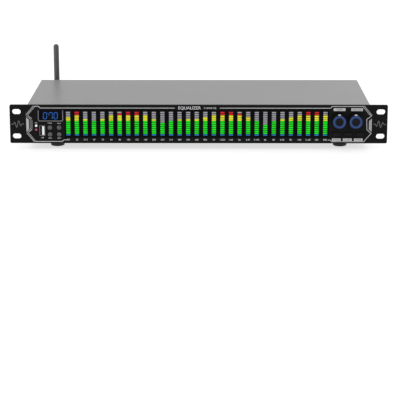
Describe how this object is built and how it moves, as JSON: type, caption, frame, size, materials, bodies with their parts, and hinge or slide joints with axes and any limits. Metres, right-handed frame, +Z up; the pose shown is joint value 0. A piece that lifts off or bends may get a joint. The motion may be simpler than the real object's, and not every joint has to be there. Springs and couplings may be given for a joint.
{
  "type": "graphic equalizer",
  "caption": "Rack-mount stereo graphic equalizer with a spectrum display, two knobs, push buttons, rear audio sockets, mains inlet and a folding stick antenna.",
  "frame": {"origin": "on the floor, under the middle of the box around the whole object, with the feet's undersides at z = 0", "axes": "+X to the right when facing the front panel, -Y out of the front panel, +Z up"},
  "size_m": [0.4826, 0.2203, 0.104],
  "materials": {
    "panel_paint": "satin",
    "chassis_paint": "satin",
    "cover_paint": "satin",
    "black_plastic": "satin",
    "smoked_acrylic": "gloss",
    "lamp_plastic": "satin",
    "blue_light": "gloss",
    "white_light": "gloss",
    "red_light": "gloss",
    "green_light": "gloss",
    "yellow_light": "gloss",
    "bright_metal": "satin",
    "gold_metal": "polished",
    "dark_metal": "satin",
    "circuit_board": "satin",
    "core_steel": "matt",
    "rubber": "satin",
    "fuse_glass": "clear",
    "white_print": "satin",
    "white_plastic": "gloss",
    "red_plastic": "gloss"
  },
  "bodies": {
    "chassis": {"front_panel": "panel_paint", "chassis_tray": "chassis_paint", "rear_panel": "chassis_paint", "top_cover": "cover_paint", "spectrum_window": "smoked_acrylic", "digit_display": "smoked_acrylic", "level_bar_array": "lamp_plastic", "display_bezel": "bright_metal", "usb_socket": "bright_metal", "rca_block": "bright_metal", "inlet_pins": "bright_metal", "wireless_module": "bright_metal", "status_led": "white_light", "power_led": "red_light", "power_inlet": "black_plastic", "switch_frame": "black_plastic", "gain_potentiometer": "dark_metal", "volume_potentiometer": "dark_metal", "cover_screw_left": "dark_metal", "cover_screw_right": "dark_metal", "display_board": "circuit_board", "main_board": "circuit_board", "transformer": "core_steel", "foot_front_left": "rubber", "foot_front_right": "rubber", "foot_rear_left": "rubber", "foot_rear_right": "rubber", "left_input_xlr_shell": "dark_metal", "left_input_xlr_insert": "black_plastic", "right_input_xlr_shell": "dark_metal", "right_input_xlr_insert": "black_plastic", "left_output_xlr_shell": "dark_metal", "left_output_xlr_insert": "black_plastic", "right_output_xlr_shell": "dark_metal", "right_output_xlr_insert": "black_plastic", "sub_output_xlr_shell": "dark_metal", "sub_output_xlr_insert": "black_plastic", "left_input_jack": "gold_metal", "right_input_jack": "gold_metal", "left_output_jack": "gold_metal", "right_output_jack": "gold_metal", "sma_connector": "gold_metal"},
    "mode_button": {"mode_button": "black_plastic"},
    "play_button": {"play_button": "black_plastic"},
    "previous_button": {"previous_button": "black_plastic"},
    "next_button": {"next_button": "black_plastic"},
    "bypass_button": {"bypass_button": "black_plastic"},
    "loudness_button": {"loudness_button": "black_plastic"},
    "mute_button": {"mute_button": "black_plastic"},
    "gain_knob": {"gain_knob": "black_plastic", "gain_light_ring": "blue_light"},
    "volume_knob": {"volume_knob": "black_plastic", "volume_light_ring": "blue_light"},
    "power_rocker": {"power_rocker": "black_plastic"},
    "fuse_drawer": {"fuse_drawer": "black_plastic", "fuse": "fuse_glass"},
    "level_trimmer": {"level_trimmer": "black_plastic"},
    "frequency_trimmer": {"frequency_trimmer": "black_plastic"},
    "antenna_knuckle": {"antenna_knuckle": "black_plastic"},
    "antenna_rod": {"antenna_rod": "black_plastic"}
  },
  "joints": [
    {"name": "mode_button_press", "type": "slide", "parent": "chassis", "child": "mode_button", "axis": [0, 1, 0], "range_m": [0, 0.0008], "stiffness_N_per_m": 600},
    {"name": "play_button_press", "type": "slide", "parent": "chassis", "child": "play_button", "axis": [0, 1, 0], "range_m": [0, 0.0008], "stiffness_N_per_m": 600},
    {"name": "previous_button_press", "type": "slide", "parent": "chassis", "child": "previous_button", "axis": [0, 1, 0], "range_m": [0, 0.0008], "stiffness_N_per_m": 600},
    {"name": "next_button_press", "type": "slide", "parent": "chassis", "child": "next_button", "axis": [0, 1, 0], "range_m": [0, 0.0008], "stiffness_N_per_m": 600},
    {"name": "bypass_button_press", "type": "slide", "parent": "chassis", "child": "bypass_button", "axis": [0, 1, 0], "range_m": [0, 0.0008], "stiffness_N_per_m": 600},
    {"name": "loudness_button_press", "type": "slide", "parent": "chassis", "child": "loudness_button", "axis": [0, 1, 0], "range_m": [0, 0.0008], "stiffness_N_per_m": 600},
    {"name": "mute_button_press", "type": "slide", "parent": "chassis", "child": "mute_button", "axis": [0, 1, 0], "range_m": [0, 0.0008], "stiffness_N_per_m": 600},
    {"name": "gain_turn", "type": "hinge", "parent": "chassis", "child": "gain_knob", "pos_m": [0.179, -0.11015, 0.038], "axis": [0, 1, 0], "range_deg": [-150, 150]},
    {"name": "volume_turn", "type": "hinge", "parent": "chassis", "child": "volume_knob", "pos_m": [0.2, -0.11015, 0.038], "axis": [0, 1, 0], "range_deg": [-150, 150]},
    {"name": "power_rock", "type": "hinge", "parent": "chassis", "child": "power_rocker", "pos_m": [0.1335, 0.08145, 0.0299], "axis": [1, 0, 0], "range_deg": [0, 20]},
    {"name": "fuse_drawer_slide", "type": "slide", "parent": "chassis", "child": "fuse_drawer", "axis": [0, 1, 0], "range_m": [0, 0.016]},
    {"name": "level_trim", "type": "hinge", "parent": "chassis", "child": "level_trimmer", "pos_m": [-0.1668, 0.08875, 0.022], "axis": [0, -1, 0], "range_deg": [-140, 140]},
    {"name": "frequency_trim", "type": "hinge", "parent": "chassis", "child": "frequency_trimmer", "pos_m": [-0.1831, 0.08875, 0.022], "axis": [0, -1, 0], "range_deg": [-140, 140]},
    {"name": "antenna_swivel", "type": "hinge", "parent": "chassis", "child": "antenna_knuckle", "pos_m": [-0.2, 0.08515, 0.0236], "axis": [0, 1, 0], "range_deg": [-90, 90]},
    {"name": "antenna_tilt", "type": "hinge", "parent": "antenna_knuckle", "child": "antenna_rod", "pos_m": [-0.2, 0.10615, 0.0236], "axis": [-1, 0, 0], "range_deg": [0, 90]}
  ]
}
